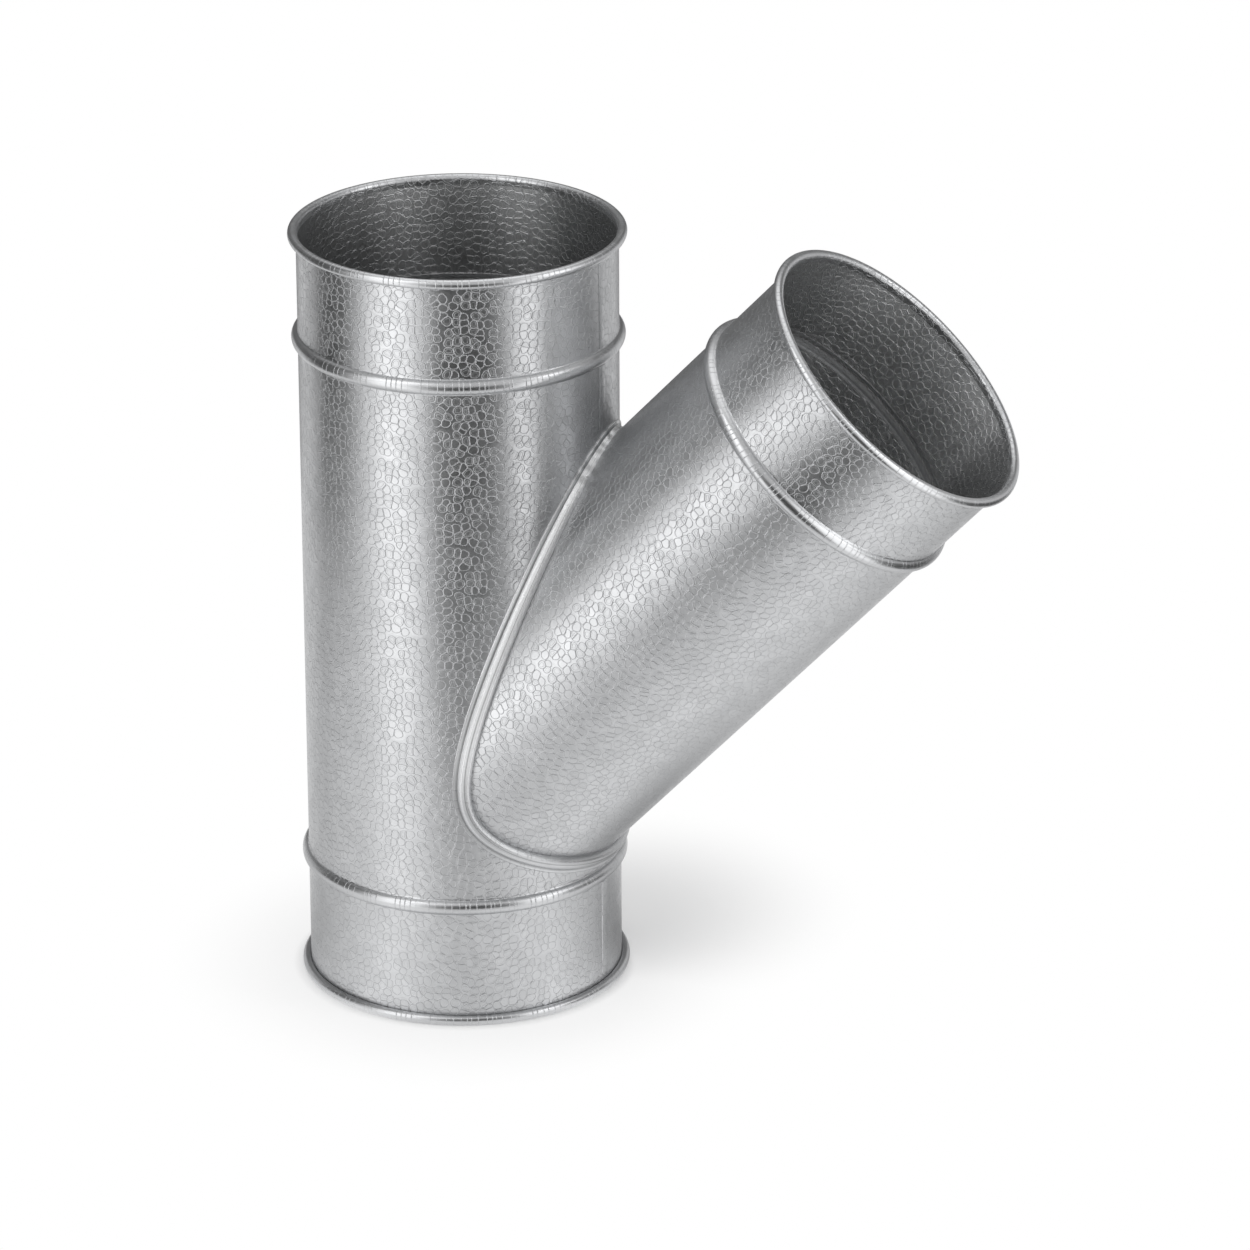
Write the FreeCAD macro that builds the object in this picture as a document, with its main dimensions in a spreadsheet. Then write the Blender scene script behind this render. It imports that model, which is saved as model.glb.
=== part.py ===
import FreeCAD, Part
from enum import IntEnum
import math
import os
import Sketcher

# A straight sheet-metal duct tube with a smaller tube branching from its side.
# The tube stands on its lower rim: Z is its axis, and the branch leans towards +X.
# Driving dimensions in millimetres and degrees.
SIZES = {
    "sheet_thickness": 0.8,
    "run_radius": 80.0,
    "branch_step": 5.0,
    "branch_angle": 43.0,
    "lower_collar": 64.0,
    "upper_collar": 56.0,
    "branch_collar": 55.0,
    "crotch_to_bead": 46.5,
    "branch_stem": 83.5,
    "rim_radius": 2.5,
    "rim_gap": 0.3,
    "bead_rise": 3.4,
    "bead_width": 9.18,
    "bead_crest": 4.0,
    "roll_radius": 3.4,
    "roll_offset": 1.5,
    "lip_width": 2.5,
    "seam_gap": 0.3,
    "lap_width": 6.0,
    "lap_rise": 0.3,
    "lap_end_gap": 1.0,
    "lap_azimuth": -8.0,
}


def seam_reach(half_wedge):
    """How far the seam's lip reaches from the corner, where half the corner's angle is given."""
    rise = f"(sizes.sheet_thickness - sizes.roll_offset * sin({half_wedge}))"
    foot = f"sizes.roll_offset * cos({half_wedge}) + sqrt(sizes.roll_radius ^ 2 - {rise} ^ 2)"
    return f"({foot} + sizes.lip_width)"


# Worked-out sizes, each an expression on the driving dimensions.
SHEET = "sizes.sheet_thickness"
RUN = "sizes.run_radius"
BRANCH = "(sizes.run_radius - sizes.branch_step)"
LEAN = "sizes.branch_angle"
BEAD_HALF = "(sizes.bead_width / 2)"
BEAD_FLAT = "(sizes.bead_crest / 4)"
BEAD_SHOULDER = "45"
CURL_REACH = f"((sizes.rim_radius - {SHEET} - sizes.rim_gap) / sizes.rim_radius)"
CURL_STOP = f"(90 deg + asin({CURL_REACH}))"
HEEL_WEDGE = f"(90 - {LEAN} / 2)"
CROTCH_WEDGE = f"({LEAN} / 2)"
HEEL_LIP = seam_reach(HEEL_WEDGE)
CROTCH_LIP = seam_reach(CROTCH_WEDGE)
HEEL_HEIGHT = f"(sizes.lower_collar + {BEAD_HALF} + {HEEL_LIP} + sizes.seam_gap)"
JUNCTION = f"({HEEL_HEIGHT} - ({RUN} * cos({LEAN}) - {BRANCH}) / sin({LEAN}))"
CROTCH_HEIGHT = f"({JUNCTION} + ({BRANCH} + {RUN} * cos({LEAN})) / sin({LEAN}))"
UPPER_BEAD = f"({CROTCH_HEIGHT} + sizes.crotch_to_bead)"
RUN_HEIGHT = f"({UPPER_BEAD} + sizes.upper_collar)"
BRANCH_BEAD = f"(({RUN} + {BRANCH} * cos({LEAN})) / sin({LEAN}) + sizes.branch_stem)"
BRANCH_REACH = f"({BRANCH_BEAD} + sizes.branch_collar)"
BRANCH_BORE = f"({BRANCH} - {SHEET})"
LAP_STOP = f"({BRANCH} + ({CROTCH_LIP} + sizes.lap_end_gap) * sin({LEAN}))"
LAP_START = "(2 * sizes.rim_radius + sizes.lap_end_gap)"

CURL_CORNERS = ("180", "135", "90", "45", "0", "-45")
CURL_HOLLOW_SIDES = 3
SEAM_STATIONS = 36
ROLL_SIDES = 5
ORIGIN_POINT = (-1, 1)


class End(IntEnum):
    """Numbers that a sketch gives to the two ends of a line."""

    START = 1
    FINISH = 2


doc = FreeCAD.newDocument("duct_y_branch")


def make_sheet():
    """The sheet that holds the driving dimensions."""
    sheet = doc.addObject("Spreadsheet::Sheet", "sizes")
    for row, (name, value) in enumerate(SIZES.items(), start=1):
        sheet.set(f"A{row}", name)
        sheet.set(f"B{row}", str(value))
        sheet.setAlias(f"B{row}", name)
    doc.recompute()
    return sheet


def number(expression):
    """Present value of an expression on the driving dimensions."""
    return float(sizes.evalExpression(expression))


def origin_plane(body, role):
    """One of the body's own origin planes."""
    return next(item for item in body.Origin.OriginFeatures if item.Role == role)


def make_sketch(body, name, role):
    """Empty sketch on an origin plane of the body."""
    sketch = body.newObject("Sketcher::SketchObject", name)
    sketch.AttachmentSupport = [(origin_plane(body, role), "")]
    sketch.MapMode = "FlatFace"
    return sketch


def point(x, y):
    """Point in a sketch's plane."""
    return FreeCAD.Vector(x, y, 0)


def bind(sketch, kind, where, expression):
    """Dimension in a sketch that follows an expression."""
    value = number(expression)
    index = sketch.addConstraint(Sketcher.Constraint(kind, *where, value))
    sketch.setExpression(f"Constraints[{index}]", expression)


def join(sketch, first, second):
    """Two sketch points held together."""
    sketch.addConstraint(Sketcher.Constraint("Coincident", *first, *second))


def add_outline(sketch, corners):
    """Closed outline of straight sides whose corners follow expressions."""
    places = [point(number(x), number(y)) for x, y in corners]
    ends = zip(places, places[1:] + places[:1])
    sides = [sketch.addGeometry(Part.LineSegment(*pair), False) for pair in ends]
    for side, following in zip(sides, sides[1:] + sides[:1]):
        join(sketch, (side, End.FINISH), (following, End.START))
    for side, (x, y) in zip(sides, corners):
        bind(sketch, "DistanceX", (*ORIGIN_POINT, side, End.START), x)
        bind(sketch, "DistanceY", (*ORIGIN_POINT, side, End.START), y)


def add_rectangle(sketch, left, right, bottom, top):
    """Rectangle whose four sides follow expressions."""
    add_outline(sketch, [(left, bottom), (right, bottom), (right, top), (left, top)])


def revolve(body, sketch, name, kind):
    """Full turn of a section about the tube's axis, added or taken away."""
    turned = body.newObject(kind, name)
    turned.Profile = sketch
    turned.ReferenceAxis = (sketch, ["V_Axis"])
    turned.Angle = 360
    sketch.Visibility = False
    body.Tip = turned
    doc.recompute()


def add_wall(body, radius, bottom, top):
    """Straight wall of the rolled sheet."""
    sketch = make_sketch(body, f"{body.Name}_wall_section", "XZ_Plane")
    add_rectangle(sketch, f"{radius} - {SHEET}", radius, bottom, top)
    revolve(body, sketch, f"{body.Name}_wall", "PartDesign::Revolution")


def curl_corner(radius, centre_height, side, reach, angle):
    """Corner of a curl at an angle round its middle, counted from straight outward."""
    middle = f"({radius} - {SHEET} + sizes.rim_radius)"
    return f"{middle} + {reach} * cos({angle})", f"{centre_height} {side} {reach} * sin({angle})"


def add_curl(body, name, radius, centre_height, side):
    """Rim rolled outward until its free edge stands just clear of the wall."""
    sketch = make_sketch(body, f"{name}_section", "XZ_Plane")
    turn = f"(180 deg + {CURL_STOP})"
    outer_angles = (*CURL_CORNERS, f"(-{CURL_STOP})")
    hollow_angles = [f"(180 deg - {turn} * {i} / {CURL_HOLLOW_SIDES})" for i in range(CURL_HOLLOW_SIDES + 1)]
    outer = [curl_corner(radius, centre_height, side, "sizes.rim_radius", a) for a in outer_angles]
    hollow_radius = f"(sizes.rim_radius - {SHEET})"
    hollow = [curl_corner(radius, centre_height, side, hollow_radius, a) for a in hollow_angles]
    add_outline(sketch, outer + hollow[::-1])
    revolve(body, sketch, name, "PartDesign::Revolution")


def mirrored_section(lower_half, height):
    """Section of a bead from its lower half, given as reach and distance below the middle."""
    below = [(reach, f"{height} - {drop}") for reach, drop in lower_half]
    above = [(reach, f"{height} + {drop}") for reach, drop in reversed(lower_half)]
    return below + above


def add_bead(body, name, radius, height):
    """Bead rolled out of the wall, raised outside and hollow inside."""
    wall_inside = f"{radius} - {SHEET}"
    crest = f"{radius} + sizes.bead_rise"
    shoulder = (
        f"{crest} - sizes.bead_crest * (1 - cos({BEAD_SHOULDER}))",
        f"sizes.bead_crest * sin({BEAD_SHOULDER})",
    )
    ridge = [(f"{radius} - {SHEET} / 2", BEAD_HALF), (radius, BEAD_HALF), shoulder, (crest, BEAD_FLAT)]
    ridge_sketch = make_sketch(body, f"{name}_ridge_section", "XZ_Plane")
    add_outline(ridge_sketch, mirrored_section(ridge, height))
    revolve(body, ridge_sketch, f"{name}_ridge", "PartDesign::Revolution")
    groove_half = f"({BEAD_HALF} - {SHEET} / 2)"
    groove = [
        (f"{wall_inside} - {SHEET}", groove_half),
        (wall_inside, groove_half),
        (f"{crest} - {SHEET}", BEAD_FLAT),
    ]
    groove_sketch = make_sketch(body, f"{name}_groove_section", "XZ_Plane")
    add_outline(groove_sketch, mirrored_section(groove, height))
    revolve(body, groove_sketch, f"{name}_groove", "PartDesign::Groove")


def add_lap(body):
    """Flat-pressed lengthwise lap, a low step along the wall between the rims."""
    sketch = make_sketch(body, "lap_section", "XY_Plane")
    sketch.setExpression("AttachmentOffset.Rotation.Angle", "sizes.lap_azimuth")
    sketch.setExpression("AttachmentOffset.Base.z", LAP_START)
    middle = f"{RUN} - {SHEET} / 2"
    half = "sizes.lap_width / 2"
    add_rectangle(sketch, middle, f"{RUN} + sizes.lap_rise", f"-({half})", half)
    lap = body.newObject("PartDesign::Pad", "lap")
    lap.Profile = sketch
    lap.setExpression("Length", f"{RUN_HEIGHT} - 2 * {LAP_START}")
    sketch.Visibility = False
    body.Tip = lap
    doc.recompute()


def make_run_sheet():
    """Straight tube with both curled rims, both beads and the lengthwise lap."""
    body = doc.addObject("PartDesign::Body", "run_sheet")
    add_wall(body, RUN, "sizes.rim_radius", f"{RUN_HEIGHT} - sizes.rim_radius")
    add_lap(body)
    add_curl(body, "lower_rim", RUN, "sizes.rim_radius", "-")
    add_curl(body, "upper_rim", RUN, f"{RUN_HEIGHT} - sizes.rim_radius", "+")
    add_bead(body, "lower_bead", RUN, "sizes.lower_collar")
    add_bead(body, "upper_bead", RUN, UPPER_BEAD)
    return body


def make_branch_sheet():
    """Branch tube with its curled rim and bead, still square at its root."""
    body = doc.addObject("PartDesign::Body", "branch_sheet")
    add_wall(body, BRANCH, "0", f"{BRANCH_REACH} - sizes.rim_radius")
    add_curl(body, "branch_rim", BRANCH, f"{BRANCH_REACH} - sizes.rim_radius", "+")
    add_bead(body, "branch_bead", BRANCH, BRANCH_BEAD)
    lean_branch(body)
    return body


def lean_branch(piece):
    """Lays a piece that was made along Z onto the axis of the branch."""
    piece.Placement = FreeCAD.Placement(
        FreeCAD.Vector(0, 0, number(JUNCTION)),
        FreeCAD.Rotation(FreeCAD.Vector(0, 1, 0), number(LEAN)),
    )
    piece.setExpression("Placement.Rotation.Angle", LEAN)
    piece.setExpression("Placement.Base.z", JUNCTION)


def make_cylinder(name, radius, length):
    """Cylinder along Z from the origin."""
    cylinder = doc.addObject("Part::Cylinder", name)
    cylinder.setExpression("Radius", radius)
    cylinder.setExpression("Height", length)
    return cylinder


def make_branch_cylinder(name, radius):
    """Cylinder along the axis of the branch."""
    cylinder = make_cylinder(name, radius, BRANCH_REACH)
    lean_branch(cylinder)
    return cylinder


def combine(kind, name, base, tool):
    """Boolean of two pieces."""
    result = doc.addObject(kind, name)
    result.Base = base
    result.Tool = tool
    return result


def on_run(place, height):
    """Nearest place at a height above the outside of the run."""
    level = FreeCAD.Vector(place.x, place.y, 0).normalize() * (number(RUN) + height)
    return FreeCAD.Vector(level.x, level.y, place.z)


def on_branch(place, height):
    """Nearest place at a height above the outside of the branch."""
    lean = math.radians(number(LEAN))
    along = FreeCAD.Vector(math.sin(lean), 0, math.cos(lean))
    foot = FreeCAD.Vector(0, 0, number(JUNCTION))
    foot = foot + along * (place - foot).dot(along)
    return foot + (place - foot).normalize() * (number(BRANCH) + height)


def seam_corner(turn):
    """Corner of both tubes at an angle round the branch, with both outward directions."""
    run = number(RUN)
    branch = number(BRANCH)
    lean = math.radians(number(LEAN))
    across = FreeCAD.Vector(math.cos(lean), 0, -math.sin(lean))
    along = FreeCAD.Vector(math.sin(lean), 0, math.cos(lean))
    branch_out = across * math.cos(turn) + FreeCAD.Vector(0, math.sin(turn), 0)
    side = branch * math.sin(turn)
    reach = (math.sqrt(run ** 2 - side ** 2) - branch * math.cos(turn) * math.cos(lean)) / math.sin(lean)
    corner = along * reach + branch_out * branch
    run_out = FreeCAD.Vector(corner.x, corner.y, 0).normalize()
    return corner + FreeCAD.Vector(0, 0, number(JUNCTION)), run_out, branch_out


def seam_section(turn):
    """Section of the rolled seam: a round roll over the corner and a flat lip on the run."""
    corner, run_out, branch_out = seam_corner(turn)
    sheet = number(SHEET)
    roll = number("sizes.roll_radius")
    middle = (run_out + branch_out).normalize()
    turn_axis = run_out.cross(branch_out).normalize()
    along_run = turn_axis.cross(run_out)
    along_branch = branch_out.cross(turn_axis)
    centre = corner + middle * number("sizes.roll_offset")
    rise = number("sizes.roll_offset") * middle.dot(run_out)
    advance = number("sizes.roll_offset") * middle.dot(along_run)
    sink = sheet / 2
    to_lip = advance + math.sqrt(roll ** 2 - (sheet - rise) ** 2)
    to_branch = advance + math.sqrt(roll ** 2 - (sink + rise) ** 2)
    lip_edge = corner + along_run * (to_lip + number("sizes.lip_width"))
    roll_end = on_branch(corner + along_branch * to_branch, -sink)
    lip_start = on_run(corner + along_run * to_lip, sheet)
    hidden_corner = corner - (run_out + branch_out) * (sink / (1 + run_out.dot(branch_out)))
    flat_part = [lip_start, on_run(lip_edge, sheet), on_run(lip_edge, -sink), hidden_corner, roll_end]
    first, last = (
        math.degrees(math.atan2((end - centre).dot(middle.cross(turn_axis)), (end - centre).dot(middle)))
        for end in (roll_end, lip_start)
    )
    step = (last - first) / ROLL_SIDES
    turns = [FreeCAD.Rotation(turn_axis, -(first + step * i)) for i in range(1, ROLL_SIDES)]
    round_part = [centre + turn.multVec(middle) * roll for turn in turns]
    return Part.makePolygon([*flat_part, *round_part, lip_start])


def make_seam_half():
    """Half of the rolled seam, from the heel to the crotch on the +Y side."""
    sections = [seam_section(math.pi * i / SEAM_STATIONS) for i in range(SEAM_STATIONS + 1)]
    half = doc.addObject("Part::Feature", "seam_half")
    half.Shape = Part.makeLoft(sections, True, False)
    return half


def make_branch_tube(sheet, run_body):
    """Branch coped to the run, with the rolled seam and its lip round the root."""
    seam_half = make_seam_half()
    other_half = doc.addObject("Part::Mirroring", "seam_other_half")
    other_half.Source = seam_half
    other_half.Normal = FreeCAD.Vector(0, 1, 0)
    rolled = doc.addObject("Part::MultiFuse", "rolled_branch")
    rolled.Shapes = [sheet, seam_half, other_half]
    return combine("Part::Cut", "branch_tube", rolled, run_body)


def make_run_tube(sheet, run_body):
    """Run with its opening, as wide as the branch's bore, and room for the seam."""
    opening = make_branch_cylinder("opening", BRANCH_BORE)
    opened = combine("Part::Cut", "opened_run", sheet, opening)
    lap_stop = make_branch_cylinder("lap_stop", LAP_STOP)
    lap_room = combine("Part::Cut", "lap_room", lap_stop, run_body)
    return combine("Part::Cut", "run_tube", opened, lap_room)


def check_document(pieces):
    """Stops when an object failed or a piece has no sound solid."""
    for item in doc.Objects:
        if {"Invalid", "Error"} & set(item.State):
            raise RuntimeError(f"{item.Name} failed: {item.State}")
    for piece in pieces:
        shape = piece.Shape
        if shape.isNull() or not shape.isValid() or len(shape.Solids) != 1:
            raise RuntimeError(f"{piece.Label} is not one sound solid")


def write_steps(pieces):
    """Writes one file for each piece."""
    os.makedirs("parts", exist_ok=True)
    for piece in pieces:
        piece.Shape.exportStep(os.path.join("parts", f"{piece.Label}.step"))


sizes = make_sheet()
run_sheet = make_run_sheet()
branch_sheet = make_branch_sheet()
run_outside = make_cylinder("run_outside", RUN, RUN_HEIGHT)
run_tube = make_run_tube(run_sheet, run_outside)
branch_tube = make_branch_tube(branch_sheet, run_outside)
doc.recompute()
check_document([run_tube, branch_tube])
write_steps([run_tube, branch_tube])
for tube in (run_tube, branch_tube):
    print(tube.Label, "volume", round(tube.Shape.Volume), "box", tube.Shape.BoundBox)
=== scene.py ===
"""Dresses a galvanised duct fitting: a straight round tube with a slanted branch, both of embossed sheet."""

import logging
import math
from dataclasses import dataclass
from enum import Enum

import bmesh
import bpy
from bmesh.types import BMesh, BMVert
from mathutils import Matrix, Vector

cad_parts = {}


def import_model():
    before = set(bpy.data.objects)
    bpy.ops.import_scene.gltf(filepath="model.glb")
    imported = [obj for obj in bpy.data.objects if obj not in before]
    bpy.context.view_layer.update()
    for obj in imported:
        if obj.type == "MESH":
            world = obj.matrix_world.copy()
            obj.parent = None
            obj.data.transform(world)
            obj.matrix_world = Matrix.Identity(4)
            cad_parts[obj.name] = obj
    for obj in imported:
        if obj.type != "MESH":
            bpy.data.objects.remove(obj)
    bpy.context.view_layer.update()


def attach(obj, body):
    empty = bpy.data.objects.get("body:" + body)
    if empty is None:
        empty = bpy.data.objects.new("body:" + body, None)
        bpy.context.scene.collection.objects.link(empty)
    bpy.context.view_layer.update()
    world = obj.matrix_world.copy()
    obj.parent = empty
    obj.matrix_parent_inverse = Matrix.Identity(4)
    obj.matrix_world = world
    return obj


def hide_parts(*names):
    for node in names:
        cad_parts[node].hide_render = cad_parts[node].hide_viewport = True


log = logging.getLogger("duct_y_branch")

TURN_STEPS = 192
ARC_STEP = math.radians(11)
WELD = 1e-7
SHARP_ANGLE = math.radians(38)
BEAD_CLEAR = 0.00003
FULL_LEAN = 0.4
BODY = "root"
SEAM_MAP = "seam"
INNER_MARK = "inner"
HOLLOW_MARK = "hollow"
DENT_MARK = "dent"
WHITE = (1.0, 1.0, 1.0, 1.0)


class Slot(Enum):
    """Material slots of the record."""

    RUN = "galvanised_run"
    BRANCH = "galvanised_branch"


@dataclass(frozen=True)
class SheetForm:
    """Shape of the rolled sheet's curls and beads, in metres."""

    thickness: float = 0.0008
    curl_radius: float = 0.00246
    curl_gap: float = 0.0003
    bead_rise: float = 0.0034
    bead_crest: float = 0.004
    bead_root: float = 0.0011
    bead_half: float = 0.00459

    @property
    def curl_stop(self) -> float:
        """Angle at which a curl ends, counted from straight outward."""
        reach = self.curl_radius - self.thickness - self.curl_gap
        return math.acos(-reach / self.curl_radius)

    @property
    def bead_swing(self) -> float:
        """Half of the angle that a bead's crest covers."""
        return math.atan2(self.bead_half, self.bead_root + self.bead_crest - self.bead_rise)


@dataclass(frozen=True)
class FittingForm:
    """Where both tubes lie, in metres and degrees."""

    run_radius: float = 0.08
    branch_radius: float = 0.075
    run_height: float = 0.397729
    lower_bead: float = 0.064
    upper_bead: float = 0.341729
    junction: float = 0.099469
    lean: float = 43.0
    branch_bead: float = 0.28123
    branch_reach: float = 0.3362

    @property
    def tilt(self) -> float:
        """Lean of the branch in radians."""
        return math.radians(self.lean)

    @property
    def branch_matrix(self) -> Matrix:
        """Lays a piece that was made along Z onto the axis of the branch."""
        return Matrix.Translation((0.0, 0.0, self.junction)) @ Matrix.Rotation(self.tilt, 4, "Y")

    def cope(self, turn: float, radius: float, level: float) -> float:
        """Distance along the branch at which a line of it meets a cylinder round the run.

        Args:
            turn: Angle round the branch, from its underside.
            radius: Distance of the line from the axis of the branch.
            level: Radius of the cylinder round the run.

        Returns:
            Distance from the crossing of both axes.
        """
        side = radius * math.sin(turn)
        near = radius * math.cos(turn) * math.cos(self.tilt)
        return (math.sqrt(level ** 2 - side ** 2) - near) / math.sin(self.tilt)


class SectionPen:
    """Draws a section in the XZ plane by extruding and spinning one vertex."""

    def __init__(self, mesh: BMesh, reach: float, height: float) -> None:
        """Starts the section.

        Args:
            mesh: Mesh that takes the section.
            reach: Distance of the first point from the axis.
            height: Height of the first point.
        """
        self.mesh = mesh
        self.tip: BMVert = bmesh.ops.create_vert(mesh, co=(reach, 0.0, height))["vert"][0]

    def line(self, reach: float, height: float) -> None:
        """Draws a straight side.

        Args:
            reach: Distance of its end from the axis.
            height: Height of its end.
        """
        grown = bmesh.ops.extrude_vert_indiv(self.mesh, verts=[self.tip])["verts"][0]
        bmesh.ops.translate(self.mesh, verts=[grown], vec=Vector((reach, 0.0, height)) - grown.co)
        self.tip = grown

    def arc(self, reach: float, height: float, sweep: float) -> None:
        """Draws an arc about a centre.

        Args:
            reach: Distance of the centre from the axis.
            height: Height of the centre.
            sweep: Angle, positive from outward to upward.
        """
        last = bmesh.ops.spin(
            self.mesh, geom=[self.tip], cent=(reach, 0.0, height), axis=(0.0, -1.0, 0.0),
            dvec=(0.0, 0.0, 0.0), angle=sweep, steps=max(2, math.ceil(abs(sweep) / ARC_STEP)),
            use_merge=False, use_normal_flip=False, use_duplicate=False,
        )["geom_last"]
        self.tip = next(item for item in last if isinstance(item, BMVert))


@dataclass(frozen=True)
class SheetTube:
    """Section of a tube of rolled sheet, drawn up its outside and down its inside."""

    sheet: SheetForm
    radius: float

    @property
    def bore(self) -> float:
        """Radius of the inner face."""
        return self.radius - self.sheet.thickness

    def bead(self, pen: SectionPen, middle: float, way: float) -> None:
        """Draws one side of a bead.

        Args:
            pen: Pen at the wall beside the bead.
            middle: Height of the bead's middle.
            way: 1 for the raised side, drawn upward, or -1 for the hollow side, drawn downward.
        """
        sheet, swing = self.sheet, way * self.sheet.bead_swing
        half = way * sheet.bead_half
        root = self.radius + sheet.bead_root
        pen.line(self.radius if way > 0 else self.bore, middle - half)
        pen.arc(root, middle - half, -swing)
        pen.arc(self.radius + sheet.bead_rise - sheet.bead_crest, middle, 2.0 * swing)
        pen.arc(root, middle + half, -swing)

    def curl(self, pen: SectionPen, middle: float, way: float) -> None:
        """Draws a curled rim from one face of the wall to the other.

        Args:
            pen: Pen at the wall, at the height of the curl's middle.
            middle: Height of the curl's middle.
            way: 1 at the top, where the pen comes up the outside, or -1 at the bottom.
        """
        sheet, stop = self.sheet, self.sheet.curl_stop
        centre = self.bore + sheet.curl_radius
        turn = sheet.curl_radius if way > 0 else sheet.curl_radius - sheet.thickness
        sweep = way * (math.pi + stop)
        pen.arc(centre, middle, -sweep)
        pen.line(centre + turn * math.cos(stop), middle - way * turn * math.sin(stop))
        pen.arc(centre, middle, sweep)


def turned(mesh: BMesh, steps: int = TURN_STEPS) -> None:
    """Spins a closed section once round Z and closes the seam.

    Args:
        mesh: Mesh that holds the section alone.
        steps: Number of steps of the whole turn.
    """
    bmesh.ops.remove_doubles(mesh, verts=mesh.verts, dist=WELD)
    bmesh.ops.spin(
        mesh, geom=[*mesh.verts, *mesh.edges], cent=(0.0, 0.0, 0.0), axis=(0.0, 0.0, 1.0),
        dvec=(0.0, 0.0, 0.0), angle=math.tau, steps=steps, use_merge=True,
        use_normal_flip=False, use_duplicate=False,
    )
    bmesh.ops.remove_doubles(mesh, verts=mesh.verts, dist=WELD)


def finished(mesh: BMesh, name: str) -> bpy.types.Object:
    """Makes the object of a mesh, with smooth faces and sharp corners.

    Args:
        mesh: Closed mesh in its final place, freed here.
        name: Name of the object.

    Returns:
        The linked object.
    """
    bmesh.ops.recalc_face_normals(mesh, faces=mesh.faces)
    for face in mesh.faces:
        face.smooth = True
    data = bpy.data.meshes.new(name)
    mesh.to_mesh(data)
    mesh.free()
    data.set_sharp_from_angle(angle=SHARP_ANGLE)
    piece = bpy.data.objects.new(name, data)
    bpy.context.scene.collection.objects.link(piece)
    return piece


def mark_inner_faces(data: bpy.types.Mesh, matrix: Matrix, bore: float) -> None:
    """Stores which faces look at a tube's axis, and which way those in a hollow bead lean.

    Args:
        data: Mesh of the tube in its final place.
        matrix: Lays a tube that stands on Z where this one lies.
        bore: Radius of the tube's inner face.
    """
    to_tube = matrix.inverted()
    inner = data.attributes.new(INNER_MARK, "FLOAT", "FACE")
    hollow = data.attributes.new(HOLLOW_MARK, "FLOAT", "FACE")
    for face in data.polygons:
        place, normal = to_tube @ face.center, to_tube.to_3x3() @ face.normal
        out = Vector((place.x, place.y, 0.0))
        looks_in = normal.dot(out) < 0.0
        inner.data[face.index].value = float(looks_in)
        if looks_in and out.length > bore + BEAD_CLEAR:
            hollow.data[face.index].value = max(-1.0, min(1.0, normal.z / FULL_LEAN))


def unwrapped(steps: tuple[int, ...], whole: int) -> list[int]:
    """Lifts the low numbers of a face that lies across the start of a ring.

    Args:
        steps: Step numbers of the face's corners.
        whole: Steps once round.

    Returns:
        The numbers, those after the start lifted by a whole turn.
    """
    across = max(steps) - min(steps) > whole / 2
    return [step + whole if across and step < whole / 2 else step for step in steps]


def angle_round(vertex: BMVert) -> float:
    """Angle of a vertex round Z, from X."""
    return math.atan2(vertex.co.y, vertex.co.x)


def dress(piece: bpy.types.Object, material: bpy.types.Material) -> None:
    """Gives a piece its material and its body.

    Args:
        piece: The finished piece.
        material: Its material.
    """
    piece.data.materials.clear()
    piece.data.materials.append(material)
    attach(piece, BODY)
    log.info("%s: %d faces", piece.name, len(piece.data.polygons))


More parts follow.
